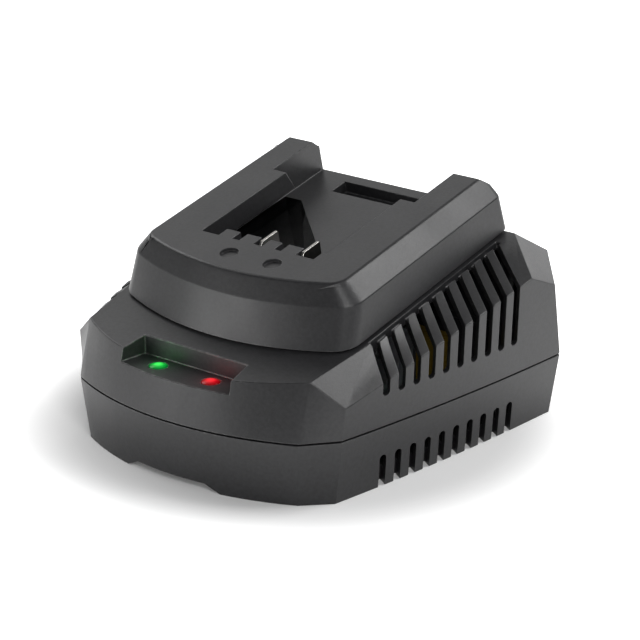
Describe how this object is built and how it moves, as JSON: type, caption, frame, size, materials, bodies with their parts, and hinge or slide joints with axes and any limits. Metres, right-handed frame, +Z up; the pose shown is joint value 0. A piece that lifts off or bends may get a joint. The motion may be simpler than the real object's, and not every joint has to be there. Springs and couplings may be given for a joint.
{
  "type": "power tool battery charger",
  "caption": "Wedge-shaped charging dock for a power tool battery, with a slotted split case, a tilted rail cradle with contact blades, signal lights and an internal power supply.",
  "frame": {"origin": "centre of the footprint, on the surface that the charger stands on", "axes": "+Z up, -Y towards the front with the signal lights, +Y towards the rear where the battery slides in, +X to the right seen from the front"},
  "size_m": [0.1216, 0.1228, 0.0732],
  "materials": {
    "case_plastic": "fine moulded texture, satin edges",
    "cradle_plastic": "fine moulded texture, satin edges",
    "black_resin": "smooth moulding",
    "contact_metal": "bright plated",
    "green_light": "clear tinted dome, lit",
    "red_light": "clear tinted dome, lit",
    "board_laminate": "solder mask over glass laminate",
    "white_nylon": "natural nylon",
    "fuse_glass": "clear tube with plated caps",
    "blue_coating": "dipped coating",
    "yellow_resin": "moulded box",
    "ferrite": "sintered, dull",
    "copper_wire": "enamelled wire",
    "winding_tape": "insulating tape",
    "can_aluminium": "sleeved can",
    "heatsink_aluminium": "mill finish",
    "brown_insulation": "lead insulation",
    "red_insulation": "lead insulation",
    "black_insulation": "lead insulation",
    "white_insulation": "lead insulation",
    "screw_steel": "zinc plated"
  },
  "bodies": {
    "root": {"upper_housing": "case_plastic", "base_tray": "case_plastic", "battery_cradle": "cradle_plastic", "terminal_block": "black_resin", "terminal_positive": "contact_metal", "terminal_negative": "contact_metal", "light_green": "green_light", "light_red": "red_light", "light_board": "board_laminate", "light_header": "white_nylon", "circuit_board": "board_laminate", "mains_inlet": "black_resin", "inlet_pins": "contact_metal", "fuse": "fuse_glass", "fuse_clips": "contact_metal", "varistor": "blue_coating", "film_capacitor": "yellow_resin", "choke_base": "black_resin", "choke_core": "ferrite", "choke_windings": "copper_wire", "bridge_rectifier": "black_resin", "bulk_capacitor": "can_aluminium", "primary_heatsink": "heatsink_aluminium", "switching_transistor": "black_resin", "transformer_core": "ferrite", "transformer_bobbin": "black_resin", "transformer_winding": "winding_tape", "secondary_heatsink": "heatsink_aluminium", "output_diode": "black_resin", "output_capacitors": "can_aluminium", "filter_choke": "ferrite", "ceramic_capacitor": "blue_coating", "controller_chip": "black_resin", "optocoupler": "white_nylon", "inlet_leads": "brown_insulation", "output_lead_positive": "red_insulation", "output_lead_negative": "black_insulation", "light_leads": "white_insulation", "housing_screws": "screw_steel", "board_screws": "screw_steel", "cradle_screws": "screw_steel", "terminal_block_screws": "screw_steel", "light_board_screws": "screw_steel", "heatsink_screws": "screw_steel"}
  },
  "joints": []
}
